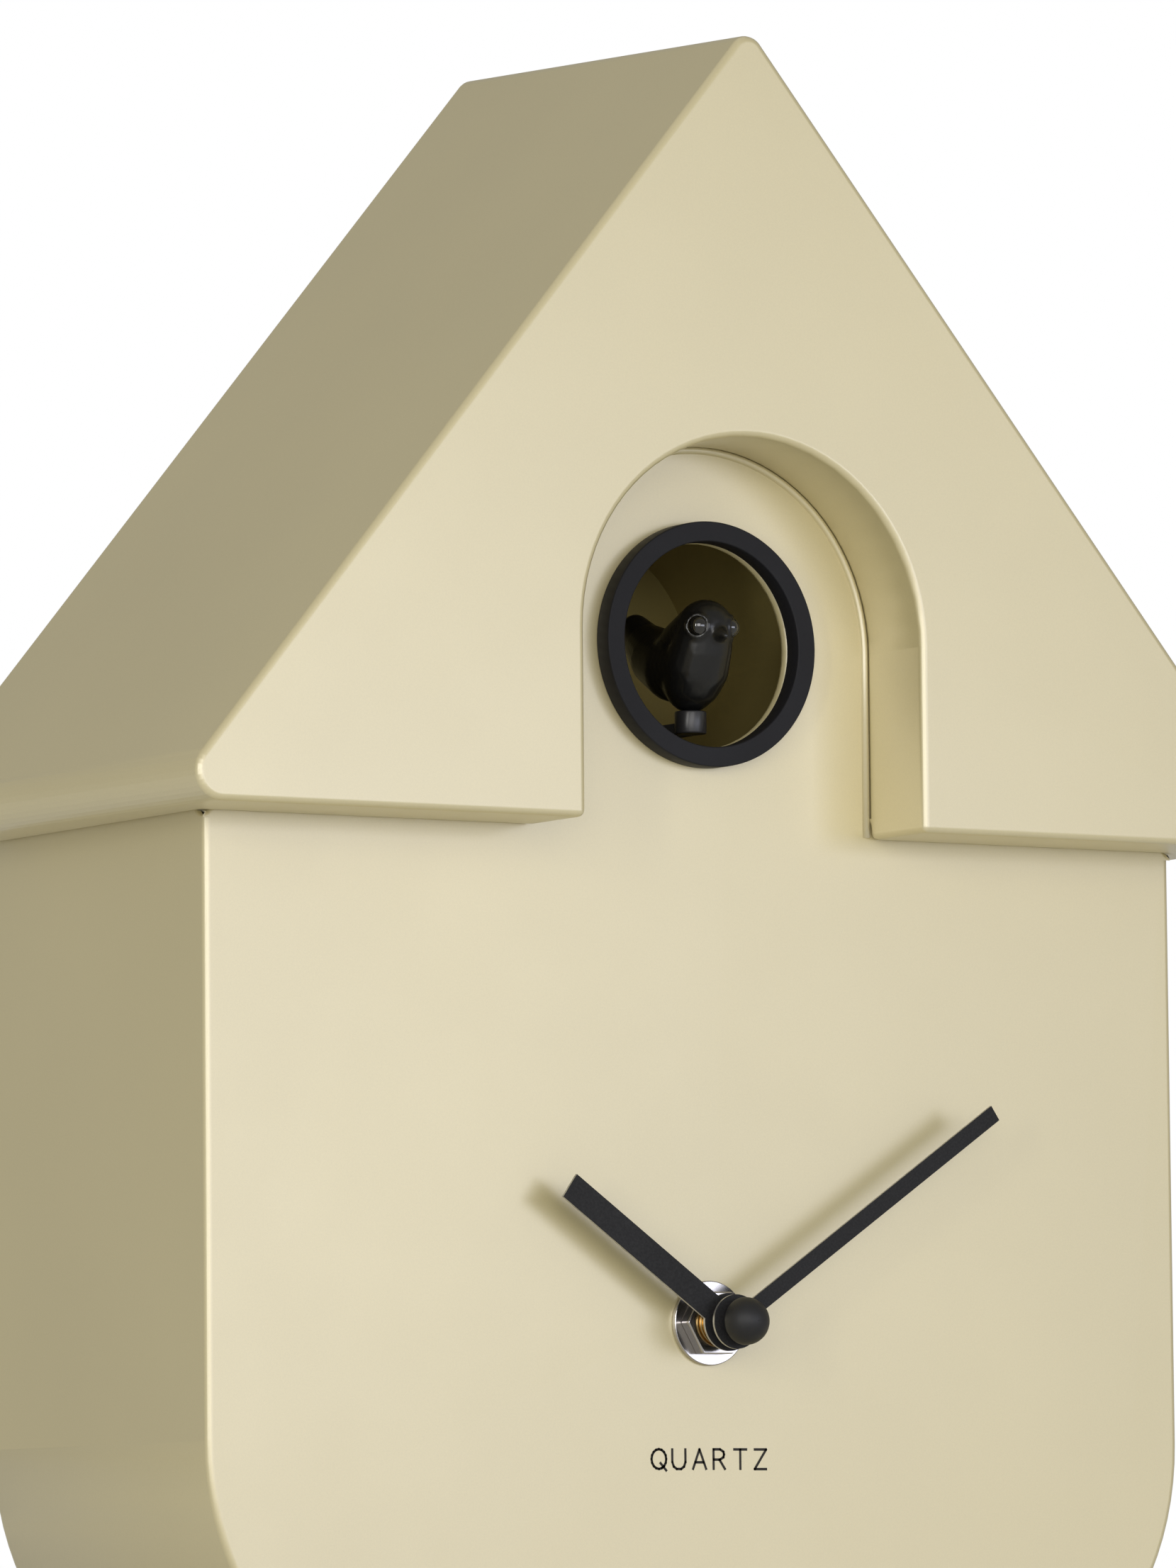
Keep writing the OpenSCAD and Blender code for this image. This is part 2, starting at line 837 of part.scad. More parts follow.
module gear_motor() {
  top = rail_z - rail_t;
  color(steel)
  difference() {
    union() {
      translate([pinion_x, pinion_y, top - motor_h])
        cylinder(r = motor_r, h = motor_h);
      translate([pinion_x, pinion_y, top - motor_h - 2])
        cylinder(r = 3, h = 2 + eps);
    }
    translate([pinion_x, pinion_y, top - 7])
      cylinder(r = shaft_r + gap, h = 8);
  }
}

// ---- chime ----
module chime_board() {
  color([0.10, 0.35, 0.20])
  difference() {
    block(board_x, board_y, board_z, board_x + board_w, board_top, board_z + board_h);
    for (p = board_posts)
      rod_y(p[0], board_y - 1, p[1], 1.1, board_t + 2);
  }
}

module board_parts() {
  color(black) {
    block(switch_x - 6, board_top, control_z - 3.5, switch_x + 6, board_top + 3.8, control_z + 3.5);
    block(button_x - 3, board_top, control_z - 3, button_x + 3, board_top + 3, control_z + 3);
    block(volume_x - 5, board_top, control_z - 5, volume_x + 5, board_top + 3.8, control_z + 5);
    block(board_x + 14, board_y - 2.4, board_z + 8, board_x + 30, board_y, board_z + 16);
  }
  for (x = [board_x + 36, board_x + 43])
    translate([x, board_y, board_z + 12])
      rotate([90, 0, 0])
        cylinder(r = 2.5, h = 7);
  for (i = [0 : 3])
    block(board_x + 12 + i * 5, board_y - 1, board_z + 22, board_x + 14 + i * 5, board_y, board_z + 26);
}

module board_screws() {
  color(steel)
  for (p = board_posts) {
    rod_y(p[0], board_y - 1.2, p[1], 2, 1.2);
    rod_y(p[0], board_y - eps, p[1], board_screw_r, 5);
  }
}

module mode_switch() {
  color(white)
  block(switch_x - 1.5, board_top + 4.1, control_z - 1.2, switch_x + 1.5, cover_out + 1, control_z + 1.2);
}

module demo_button() {
  color(white)
  rod_y(button_x, board_top + 3.9, control_z, 2.4, cover_out + 0.9 - board_top - 3.9);
}

module volume_knob() {
  color(white)
  difference() {
    rod_y(volume_x, board_top + 4.1, control_z, 3.4, cover_out + 1 - board_top - 4.1);
    block(volume_x - 2.6, cover_out, control_z - 0.4, volume_x + 2.6, cover_out + 2, control_z + 0.4);
  }
}

module light_sensor() {
  color(white)
  translate([sensor_x, 0, 0.4])
    cylinder(r = 2.5, h = 6);
  color(white)
  translate([sensor_x, 0, wall])
    cylinder(r = 3.1, h = 1);
}

module battery_tray() {
  color(black)
  difference() {
    block(tray_x, cover_in - tray_d, tray_z, tray_x + tray_w, cover_in, tray_z + tray_h);
    block(tray_x + tray_t, cover_in - tray_d + tray_t, tray_z + tray_t,
          tray_x + tray_w - tray_t, cover_in + 1, tray_z + tray_h - tray_t);
  }
}

module chime_cells() {
  color(white)
  for (i = [-1 : 1])
    translate([tray_x + tray_w / 2 + i * cell_pitch, cover_in - tray_d + tray_t + cell_r + gap, tray_z + 8])
      aa_cell();
}

module tray_contacts() {
  color(steel)
  for (i = [-1 : 1])
    translate([tray_x + tray_w / 2 + i * cell_pitch, cover_in - tray_d + tray_t + cell_r + gap, 0]) {
      block(-5, -4, tray_z + tray_h - tray_t - 0.5, 5, 4, tray_z + tray_h - tray_t);
      block(-5, -4, tray_z + tray_t, 5, 4, tray_z + tray_t + 0.5);
      translate([-3, 0, 0])
        rotate([90, 0, 90])
          linear_extrude(height = 6)
            polygon([
              [-4, tray_z + tray_t + 0.4], [4, tray_z + 4.6], [-1, tray_z + 7.9],
              [-1, tray_z + 7.3], [2.8, tray_z + 4.6], [-4, tray_z + tray_t + 1]
            ]);
    }
}

// loudspeaker section, radius out and height forward of the cover
module speaker_frame() {
  color(steel)
  translate([spk_x, cover_in, spk_z])
    rotate([90, 0, 0])
      rotate_extrude($fn = 72)
        polygon([
          [26, 0], [spk_r, 0], [spk_r, 1], [27, 1.2], [17.5, 10.5], [15, 10.5], [15, 18.5],
          [0, 18.5], [0, 11.5], [13, 11.5], [13, 10], [16.5, 9.5], [26, 0.8]
        ]);
}

module speaker_cone() {
  color(black)
  translate([spk_x, cover_in, spk_z])
    rotate([90, 0, 0])
      rotate_extrude($fn = 72)
        polygon([
          [24, 1.2], [24.6, 1.2], [11, 9], [10.4, 10.4], [9.8, 10.4], [10, 8.6],
          [8, 6.6], [0, 4.6], [0, 4], [8, 5.9], [10.4, 8.2]
        ]);
}

// round lead swept along the points of its route
function unit(v) = v / norm(v);
function heading(p, i) = unit(p[min(i + 1, len(p) - 1)] - p[max(i - 1, 0)]);
function lead_ring(p, i) =
  let (t = heading(p, i), u = unit(cross(t, [0.31, 0.87, 0.38])), w = cross(t, u))
  [for (k = [0 : lead_sides - 1]) p[i] + lead_r * (u * cos(360 * k / lead_sides) + w * sin(360 * k / lead_sides))];

module lead(p) {
  n = lead_sides;
  last = len(p) - 1;
  polyhedron(
    points = [for (i = [0 : last]) each lead_ring(p, i)],
    faces = concat(
      [[for (k = [0 : n - 1]) k]],
      [[for (k = [0 : n - 1]) last * n + n - 1 - k]],
      [for (i = [0 : last - 1]) for (k = [0 : n - 1])
        [i * n + k, (i + 1) * n + k, (i + 1) * n + (k + 1) % n, i * n + (k + 1) % n]]
    )
  );
}

module leads() {
  y_run = board_y - 4;
  top = board_z + board_h;
  color([0.70, 0.10, 0.10]) {
    lead([[board_x + 18, board_y - 0.6, top - 3], [board_x + 18, y_run, top - 3],
          [board_x + 18, y_run - 9, top + 4], [spk_x - 4, cover_in - 19.2, spk_z - 6]]);
    lead([[board_x + 4, board_y - 0.6, board_z + 6], [board_x + 4, y_run - 2, board_z + 6],
          [0, y_run - 6, 26], [tray_x + 24, y_run - 6, 30],
          [tray_x + 24, cover_in - tray_d + 5, tray_z - 0.6]]);
    lead([[board_x + 8, board_y - 0.6, top - 12], [board_x + 8, 10, top + 4],
          [pinion_x + 5, pinion_y, rail_z - rail_t - motor_h - 8],
          [pinion_x + 5, pinion_y, rail_z - rail_t - motor_h - 0.6]]);
    lead([[board_x + 20, board_y - 0.6, board_z + 3], [board_x + 16, y_run - 4, board_z - 6],
          [sensor_x, 0, 18], [sensor_x, 0, 7]]);
  }
}

// ---- covers that come off ----
module access_door() {
  inset = 0.35;
  color(black)
  union() {
    block(-door_w / 2 + inset, cover_out - door_t, door_z + inset,
          door_w / 2 - inset, cover_out, door_z + door_h - inset);
    for (s = [-1, 1])
      block(s * 18 - 3, cover_out - door_t - 3, door_z + inset + 0.2,
            s * 18 + 3, cover_out - door_t + eps, door_z + inset + 1.4);
  }
}

module battery_lid() {
  inset = 0.35;
  color(black)
  union() {
    block(tray_x + tray_t + inset, cover_out - door_t, tray_z + tray_t + inset,
          tray_x + tray_w - tray_t - inset, cover_out, tray_z + tray_h - tray_t - inset);
    for (i = [0 : 4])
      block(tray_x + tray_w / 2 - 8, cover_out - eps, tray_z + 6 + i * 2,
            tray_x + tray_w / 2 + 8, cover_out + 0.5, tray_z + 7 + i * 2);
  }
}

roof_shell();
case_shell();
back_cover();
cover_ribs();
cover_screws();
roof_screws();
porthole_ring();
bird_niche();
niche_screws();
movement_front();
movement_rear();
threaded_bush();
flange_washer();
hex_nut();
rubber_washer();
movement_cell();
movement_contacts();
coil();
stator();
rotor();
train_wheel();
minute_arbor();
minute_hand();
hand_cap();
hour_wheel();
hour_hand();
motion_wheel();
set_knob();
bird_body();
bird_eyes();
bird_beak();
bird_peg();
carriage();
drive_pinion();
slide_rail();
gear_motor();
chime_board();
board_parts();
board_screws();
mode_switch();
demo_button();
volume_knob();
light_sensor();
battery_tray();
chime_cells();
tray_contacts();
speaker_frame();
speaker_cone();
leads();
access_door();
battery_lid();
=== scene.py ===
import math

import bmesh
import bpy
from mathutils import Matrix, Vector


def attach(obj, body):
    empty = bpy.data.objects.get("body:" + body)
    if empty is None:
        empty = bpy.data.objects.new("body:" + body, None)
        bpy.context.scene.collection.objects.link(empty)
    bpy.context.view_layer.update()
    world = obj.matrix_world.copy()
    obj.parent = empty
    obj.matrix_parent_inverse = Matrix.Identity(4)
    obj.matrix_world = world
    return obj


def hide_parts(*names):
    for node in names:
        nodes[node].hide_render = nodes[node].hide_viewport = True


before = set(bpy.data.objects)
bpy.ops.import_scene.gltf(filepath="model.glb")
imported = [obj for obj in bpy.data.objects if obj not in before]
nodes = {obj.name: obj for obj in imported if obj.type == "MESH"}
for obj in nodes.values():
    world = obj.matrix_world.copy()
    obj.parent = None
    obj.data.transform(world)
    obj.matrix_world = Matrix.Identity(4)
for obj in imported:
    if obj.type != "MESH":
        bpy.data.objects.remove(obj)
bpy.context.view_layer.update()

MM = 0.001

# ---------------------------------------------------------------- camera
CAM_POS = Vector((-0.85885, -1.35303, 0.01913))
CAM_YAW = math.radians(32.250)      # from straight ahead at the front, to the right
CAM_PITCH = math.radians(5.241)     # upwards
CAM_ROLL = math.radians(-0.520)
SENSOR_MM = 36.0
LENS_MM = 278.279
SHIFT_UP = 0.003918                 # of the picture's width
CLIP = (0.05, 50)

scene = bpy.context.scene


def make_camera():
    forward = Vector((math.sin(CAM_YAW) * math.cos(CAM_PITCH),
                      math.cos(CAM_YAW) * math.cos(CAM_PITCH), math.sin(CAM_PITCH)))
    flat = Vector((math.cos(CAM_YAW), -math.sin(CAM_YAW), 0))
    up = flat.cross(forward)
    right = flat * math.cos(CAM_ROLL) + up * math.sin(CAM_ROLL)
    top = up * math.cos(CAM_ROLL) - flat * math.sin(CAM_ROLL)
    data = bpy.data.cameras.new("camera")
    data.sensor_fit = "HORIZONTAL"
    data.sensor_width = SENSOR_MM
    data.lens = LENS_MM
    data.shift_y = SHIFT_UP
    data.clip_start, data.clip_end = CLIP
    cam = bpy.data.objects.new("camera", data)
    scene.collection.objects.link(cam)
    back = -forward
    cam.matrix_world = Matrix((
        (right.x, top.x, back.x, CAM_POS.x),
        (right.y, top.y, back.y, CAM_POS.y),
        (right.z, top.z, back.z, CAM_POS.z),
        (0, 0, 0, 1),
    ))
    scene.camera = cam


make_camera()


# ---------------------------------------------------------------- materials
def new_material(name):
    mat = bpy.data.materials.new(name)
    mat.use_nodes = True
    tree = mat.node_tree
    tree.nodes.clear()
    out = tree.nodes.new("ShaderNodeOutputMaterial")
    shader = tree.nodes.new("ShaderNodeBsdfPrincipled")
    tree.links.new(shader.outputs["BSDF"], out.inputs["Surface"])
    return mat, tree, shader


def noise(tree, scale, detail=2.0, rough=0.5):
    tex = tree.nodes.new("ShaderNodeTexNoise")
    tex.inputs["Scale"].default_value = scale
    tex.inputs["Detail"].default_value = detail
    tex.inputs["Roughness"].default_value = rough
    where = tree.nodes.new("ShaderNodeTexCoord")
    tree.links.new(where.outputs["Object"], tex.inputs["Vector"])
    return tex.outputs["Fac"]


def ramp(tree, fac, stops):
    node = tree.nodes.new("ShaderNodeValToRGB")
    band = node.color_ramp
    while len(band.elements) < len(stops):
        band.elements.new(0.5)
    for element, (pos, colour) in zip(band.elements, stops):
        element.position = pos
        element.color = (*colour, 1)
    tree.links.new(fac, node.inputs["Fac"])
    return node.outputs["Color"]


def spread(tree, fac, low, high, from_low=0.3, from_high=0.7):
    node = tree.nodes.new("ShaderNodeMapRange")
    node.inputs["From Min"].default_value = from_low
    node.inputs["From Max"].default_value = from_high
    node.inputs["To Min"].default_value = low
    node.inputs["To Max"].default_value = high
    tree.links.new(fac, node.inputs["Value"])
    return node.outputs["Result"]


def mix(tree, fac, a, b):
    """Mix of two colours; fac, a and b are each a plain value or another node's output."""
    node = tree.nodes.new("ShaderNodeMix")
    node.data_type = "RGBA"
    if isinstance(fac, float):
        node.inputs[0].default_value = fac
    else:
        tree.links.new(fac, node.inputs[0])
    for socket, value in ((node.inputs[6], a), (node.inputs[7], b)):
        if isinstance(value, tuple):
            socket.default_value = (*value, 1)
        else:
            tree.links.new(value, socket)
    return node.outputs[2]


def bump(tree, shader, height, strength, distance):
    node = tree.nodes.new("ShaderNodeBump")
    node.inputs["Strength"].default_value = strength
    node.inputs["Distance"].default_value = distance
    tree.links.new(height, node.inputs["Height"])
    tree.links.new(node.outputs["Normal"], shader.inputs["Normal"])


def shade(colour, factor):
    return tuple(min(1.0, c * factor) for c in colour)


DRIFT_SCALE = 14.0      # slow change of colour over a piece
CLOUD_SCALE = 60.0      # change of roughness
SPECK_SHARE = 0.4       # share of the fine specks in the colour
GRAIN_DEPTH = 0.00005
BASE_IOR = 1.5


def finish(name, colour, rough, metallic=0.0, grain=2500.0, relief=0.06, vary=0.05, rough_vary=0.05,
           edge_highlight_colour=None, edge=0.0, coat=0.0, coat_rough=0.1, coat_ior=1.5, spec=0.5):
    """Moulded, painted or turned surface: colour drift and specks, fine grain in relief, cloudy roughness.

    The lighter edge colour is a painted highlight on convex edges, found by pointiness, and edge is how strongly
    it shows.
    """
    mat, tree, shader = new_material(name)
    drift = noise(tree, DRIFT_SCALE, 3.0)
    base = ramp(tree, drift, [(0.3, shade(colour, 1 - vary)), (0.7, shade(colour, 1 + vary))])
    fine = noise(tree, grain, 2.0, 0.6)
    speck = ramp(tree, fine, [(0.35, shade(colour, 1 - vary)), (0.65, shade(colour, 1 + vary))])
    base = mix(tree, SPECK_SHARE, base, speck)
    # Painted highlight: convex edges made lighter, by pointiness.
    if edge_highlight_colour:
        geo = tree.nodes.new("ShaderNodeNewGeometry")
        painted_highlight_mask = spread(tree, geo.outputs["Pointiness"], 0.0, edge, 0.52, 0.62)
        base = mix(tree, painted_highlight_mask, base, edge_highlight_colour)
    tree.links.new(base, shader.inputs["Base Color"])
    cloud = spread(tree, noise(tree, CLOUD_SCALE, 4.0), rough - rough_vary, rough + rough_vary)
    tree.links.new(cloud, shader.inputs["Roughness"])
    shader.inputs["Metallic"].default_value = metallic
    shader.inputs["IOR"].default_value = BASE_IOR
    shader.inputs["Specular IOR Level"].default_value = spec
    shader.inputs["Coat Weight"].default_value = coat
    shader.inputs["Coat Roughness"].default_value = coat_rough
    shader.inputs["Coat IOR"].default_value = coat_ior
    bump(tree, shader, fine, relief, GRAIN_DEPTH)
    return mat


GOLD = (0.600, 0.520, 0.270)
# The champagne paint carries a painted highlight on its convex edges.
champagne = finish("champagne", GOLD, 0.44, metallic=0.2, grain=3200, relief=0.16, vary=0.05,
                   rough_vary=0.02, edge_highlight_colour=(0.80, 0.74, 0.60), edge=0.3, coat=1.0, coat_rough=0.38, coat_ior=2.2)
# Painted shade: the case gold darkened for the deep recess of the bird niche.
niche_gold_painted_shade = finish("niche_gold_painted_shade", (0.300, 0.245, 0.085), 0.40, metallic=0.4, grain=3000, relief=0.08, vary=0.04)
back_black = finish("back_black", (0.020, 0.020, 0.021), 0.55, grain=1500, relief=0.35, vary=0.12)
ring_black = finish("ring_black", (0.013, 0.013, 0.015), 0.50, grain=2600, relief=0.12, vary=0.08, spec=0.16)
bird_gloss = finish("bird_gloss", (0.005, 0.005, 0.005), 0.30, grain=1500, relief=0.03, vary=0.1, coat=0.15,
                    coat_rough=0.12, spec=0.4)
eye_gloss = finish("eye_gloss", (0.004, 0.004, 0.004), 0.06, grain=1500, relief=0.01, vary=0.1, coat=1.0,
                   coat_rough=0.02, rough_vary=0.02)
peg_black = finish("peg_black", (0.018, 0.018, 0.019), 0.34, grain=2000, relief=0.08, vary=0.1)
cap_black = finish("cap_black", (0.012, 0.012, 0.013), 0.48, grain=2200, relief=0.10, vary=0.10, spec=0.4)
ink = finish("ink", (0.020, 0.016, 0.011), 0.5, grain=3000, relief=0.05, vary=0.10, spec=0.3)
plastic_black = finish("plastic_black", (0.022, 0.022, 0.023), 0.5, grain=1800, relief=0.25, vary=0.12)
chrome = finish("chrome", (0.52, 0.50, 0.49), 0.20, metallic=1.0, grain=1600, relief=0.03, vary=0.03,
                rough_vary=0.05)
brass = finish("brass", (0.72, 0.50, 0.20), 0.24, metallic=1.0, grain=1800, relief=0.06, vary=0.06)
steel = finish("steel", (0.55, 0.55, 0.57), 0.32, metallic=1.0, grain=1400, relief=0.10, vary=0.06)
copper = finish("copper", (0.62, 0.26, 0.12), 0.30, metallic=1.0, grain=2200, relief=0.4, vary=0.15)
rubber = finish("rubber", (0.015, 0.015, 0.015), 0.7, grain=1500, relief=0.3, vary=0.15)
acetal = finish("acetal", (0.78, 0.78, 0.74), 0.35, grain=1200, relief=0.05, vary=0.03)
grey_plastic = finish("grey_plastic", (0.42, 0.42, 0.42), 0.45, grain=1600, relief=0.15, vary=0.05)
board_green = finish("board_green", (0.02, 0.12, 0.045), 0.28, grain=900, relief=0.10, vary=0.25)
chip_black = finish("chip_black", (0.020, 0.020, 0.020), 0.5, grain=2600, relief=0.3, vary=0.15)
cell_wrap = finish("cell_wrap", (0.03, 0.12, 0.08), 0.25, grain=900, relief=0.03, vary=0.10, coat=0.4)
paper = finish("paper", (0.025, 0.025, 0.025), 0.85, grain=900, relief=0.5, vary=0.25)
lead_red = finish("lead_red", (0.42, 0.03, 0.02), 0.42, grain=1200, relief=0.08, vary=0.08)
resin = finish("resin", (0.72, 0.72, 0.66), 0.12, grain=900, relief=0.02, vary=0.05, coat=0.6)


def hand_material():
    """Matt black paint on a hand's front and back, bare metal on its cut edges."""
    mat, tree, shader = new_material("hand_black")
    fine = noise(tree, 2600.0, 2.0, 0.6)
    paint = ramp(tree, fine, [(0.3, (0.015, 0.015, 0.016)), (0.7, (0.024, 0.024, 0.025))])
    metal = ramp(tree, noise(tree, 900.0), [(0.3, (0.42, 0.42, 0.41)), (0.7, (0.60, 0.59, 0.57))])
    where = tree.nodes.new("ShaderNodeTexCoord")
    split = tree.nodes.new("ShaderNodeSeparateXYZ")
    tree.links.new(where.outputs["Normal"], split.inputs["Vector"])
    facing = tree.nodes.new("ShaderNodeMath")
    facing.operation = "ABSOLUTE"
    tree.links.new(split.outputs["Y"], facing.inputs[0])
    cut = spread(tree, facing.outputs["Value"], 1.0, 0.0, 0.55, 0.8)
    tree.links.new(mix(tree, cut, paint, metal), shader.inputs["Base Color"])
    tree.links.new(cut, shader.inputs["Metallic"])
    tree.links.new(spread(tree, noise(tree, 80.0, 4.0), 0.5, 0.6), shader.inputs["Roughness"])
    shader.inputs["Specular IOR Level"].default_value = 0.15
    bump(tree, shader, fine, 0.10, 0.00004)
    return mat


hand_black = hand_material()

LOOKS = {
    "roof_shell": champagne, "case_shell": champagne, "bird_niche": niche_gold_painted_shade,
    "back_cover": back_black, "cover_ribs": back_black, "access_door": back_black, "battery_lid": back_black,
    "cover_screws": steel, "roof_screws": steel, "niche_screws": steel, "board_screws": steel,
    "porthole_ring": ring_black, "movement_front": plastic_black, "movement_rear": plastic_black,
    "slide_rail": plastic_black, "battery_tray": plastic_black, "carriage": plastic_black,
    "set_knob": plastic_black, "threaded_bush": brass, "flange_washer": chrome, "hex_nut": chrome,
    "rubber_washer": rubber, "movement_cell": cell_wrap, "chime_cells": cell_wrap,
    "movement_contacts": steel, "tray_contacts": steel, "coil": copper, "stator": steel, "rotor": steel,
    "train_wheel": acetal, "hour_wheel": acetal, "motion_wheel": acetal, "drive_pinion": acetal,
    "minute_arbor": steel, "minute_hand": hand_black, "hour_hand": hand_black, "hand_cap": cap_black,
    "bird_body": bird_gloss, "bird_eyes": eye_gloss, "bird_beak": bird_gloss, "bird_peg": peg_black,
    "gear_motor": steel, "chime_board": board_green, "board_parts": chip_black,
    "mode_switch": grey_plastic, "demo_button": grey_plastic, "volume_knob": grey_plastic,
    "light_sensor": resin, "speaker_frame": steel, "speaker_cone": paper, "leads": lead_red,
}
for name, node in nodes.items():
    node.data.materials.clear()
    node.data.materials.append(LOOKS[name])


# ---------------------------------------------------------------- edges of the moulded shells
WELD_GAP = 0.00003
FLAT_ANGLE = math.radians(0.4)
FILLET_ANGLE = math.radians(35)
FILLET_STEPS = 3


def soften(name, width):
    """Small fillet on a piece's edges. Weld and dissolve first clear the split corners and triangles of the CAD
    mesh, which the fillet would otherwise follow."""
    node = nodes[name]
    weld = node.modifiers.new("weld", "WELD")
    weld.merge_threshold = WELD_GAP
    flat = node.modifiers.new("flat", "DECIMATE")
    flat.decimate_type = "DISSOLVE"
    flat.angle_limit = FLAT_ANGLE
    bevel = node.modifiers.new("fillet", "BEVEL")
    bevel.width = width
    bevel.segments = FILLET_STEPS
    bevel.limit_method = "ANGLE"
    bevel.angle_limit = FILLET_ANGLE
    bevel.use_clamp_overlap = False
    bevel.harden_normals = True
    bevel.miter_outer = "MITER_ARC"


for name, width in (("roof_shell", 1.2), ("case_shell", 1.2), ("porthole_ring", 0.25), ("hex_nut", 0.3),
                    ("flange_washer", 0.2), ("back_cover", 0.4), ("access_door", 0.4), ("battery_lid", 0.4),
                    ("bird_peg", 0.3), ("movement_front", 0.5), ("movement_rear", 0.5), ("mode_switch", 0.2),
                    ("demo_button", 0.3), ("volume_knob", 0.3), ("battery_tray", 0.3), ("slide_rail", 0.3)):
    soften(name, width * MM)


# ---------------------------------------------------------------- bird
FACE_Y = -0.0291        # case front
PORT_Z = 0.1887         # porthole centre
# chains of blended balls: x, y behind the case face, z above the porthole centre, radius, all in mm
BIRD_CHAINS = [
    [(0, 3.5, -7.0, 4.4), (0, 2.9, -5.4, 5.5), (0, 1.6, -3.4, 5.9), (0, 0.0, -0.6, 5.5), (0, -1.5, 3.0, 5.0)],
    [(0, 1.6, -3.4, 5.9), (0, 8.0, -3.0, 6.2), (0, 13.0, -1.0, 5.4), (0, 17.6, 1.8, 3.9), (0, 21.0, 4.8, 2.8)],
    [(0, -1.5, 3.0, 5.0), (0, 3.5, 0.4, 5.3), (0, 8.0, -2.4, 5.6)],
    [(0, -5.2, 1.7, 1.8), (0, -6.8, 1.4, 1.1), (0, -8.2, 1.0, 0.5)],
]
BALL_STEPS = 5          # balls from one chain point to the next
HEAD = (0, -1.5, 3.0)
EYE = (3.15, -4.15, 2.95)
EYE_R = 1.9
RIM_R, RIM_WIRE, RIM_OUT, RIM_BALLS = 2.0, 0.34, 0.55, 36
SKIN_VOXEL = 0.30


def bird_point(x, y, z):
    return Vector((x * MM, FACE_Y + y * MM, PORT_Z + z * MM))


def new_object(name, mesh, material, body_node):
    obj = bpy.data.objects.new(name, mesh)
    scene.collection.objects.link(obj)
    mesh.materials.append(material)
    for face in mesh.polygons:
        face.use_smooth = True
    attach(obj, body_node)
    return obj


def ball_chain(bm, chain):
    for a, b in zip(chain, chain[1:]):
        for i in range(BALL_STEPS + 1):
            t = i / BALL_STEPS
            x, y, z, r = (p + (q - p) * t for p, q in zip(a, b))
            bmesh.ops.create_icosphere(bm, subdivisions=3, radius=r * MM,
                                       matrix=Matrix.Translation(bird_point(x, y, z)))


def eye_rims(bm):
    """A raised rim round each eye: a ring of small balls lying on the head."""
    for side in (-1, 1):
        centre = bird_point(side * EYE[0], EYE[1], EYE[2])
        out = (centre - bird_point(*HEAD)).normalized()
        along = out.orthogonal().normalized()
        across = out.cross(along)
        for i in range(RIM_BALLS):
            a = i * math.tau / RIM_BALLS
            where = centre + out * RIM_OUT * MM + (along * math.cos(a) + across * math.sin(a)) * RIM_R * MM
            bmesh.ops.create_icosphere(bm, subdivisions=2, radius=RIM_WIRE * MM, matrix=Matrix.Translation(where))


def make_bird():
    bm = bmesh.new()
    for chain in BIRD_CHAINS:
        ball_chain(bm, chain)
    eye_rims(bm)
    mesh = bpy.data.meshes.new("bird_figure")
    bm.to_mesh(mesh)
    bm.free()
    bird = new_object("bird_figure", mesh, bird_gloss, "bird")
    blend = bird.modifiers.new("blend", "REMESH")
    blend.mode = "VOXEL"
    blend.voxel_size = SKIN_VOXEL * MM
    blend.use_smooth_shade = True
    smooth = bird.modifiers.new("smooth", "SMOOTH")
    smooth.factor = 0.5
    smooth.iterations = 4
    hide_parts("bird_body", "bird_beak")
    bm = bmesh.new()
    for side in (-1, 1):
        bmesh.ops.create_uvsphere(bm, u_segments=32, v_segments=20, radius=EYE_R * MM,
                                  matrix=Matrix.Translation(bird_point(side * EYE[0], EYE[1], EYE[2])))
    mesh = bpy.data.meshes.new("bird_eyeballs")
    bm.to_mesh(mesh)
    bm.free()
    eyes = new_object("bird_eyeballs", mesh, eye_gloss, "bird")
    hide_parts("bird_eyes")


make_bird()


# ---------------------------------------------------------------- bead where the arch wall meets the case front
ARCH_R = 0.0348
SEAM_Z = 0.156
BEAD_R = 0.00070
BEAD_SIDES = 12
BEAD_STEPS = 72
BEAD_IN = 0.6           # of the bead's radius, how far its centre sits inside the arch
FOOT_LIFT = 0.0004


def make_arch_bead():
    """Half-round bead that follows the arch from its right foot over the crown to its left foot."""
    radius = ARCH_R - BEAD_R * BEAD_IN
    outs = [Vector((math.cos(a), 0, math.sin(a)))
            for a in (i * math.pi / BEAD_STEPS for i in range(BEAD_STEPS + 1))]
    crown = [(out, Vector((0, FACE_Y, PORT_Z)) + out * radius) for out in outs]
    right_foot = (outs[0], Vector((radius, FACE_Y, SEAM_Z + FOOT_LIFT)))
    left_foot = (outs[-1], Vector((-radius, FACE_Y, SEAM_Z + FOOT_LIFT)))
    bm = bmesh.new()
    rings = []
    for out, centre in [right_foot, *crown, left_foot]:
        rings.append([bm.verts.new(centre + BEAD_R * (out * math.cos(a) + Vector((0, math.sin(a), 0))))
                      for a in (k * math.tau / BEAD_SIDES for k in range(BEAD_SIDES))])
    for a, b in zip(rings, rings[1:]):
        for k in range(BEAD_SIDES):
            n = (k + 1) % BEAD_SIDES
            bm.faces.new((a[k], a[n], b[n], b[k]))
    bm.faces.new(rings[0])
    bm.faces.new(list(reversed(rings[-1])))
    bmesh.ops.recalc_face_normals(bm, faces=bm.faces)
    mesh = bpy.data.meshes.new("arch_bead")
    bm.to_mesh(mesh)
    bm.free()
    new_object("arch_bead", mesh, champagne, "case")


make_arch_bead()


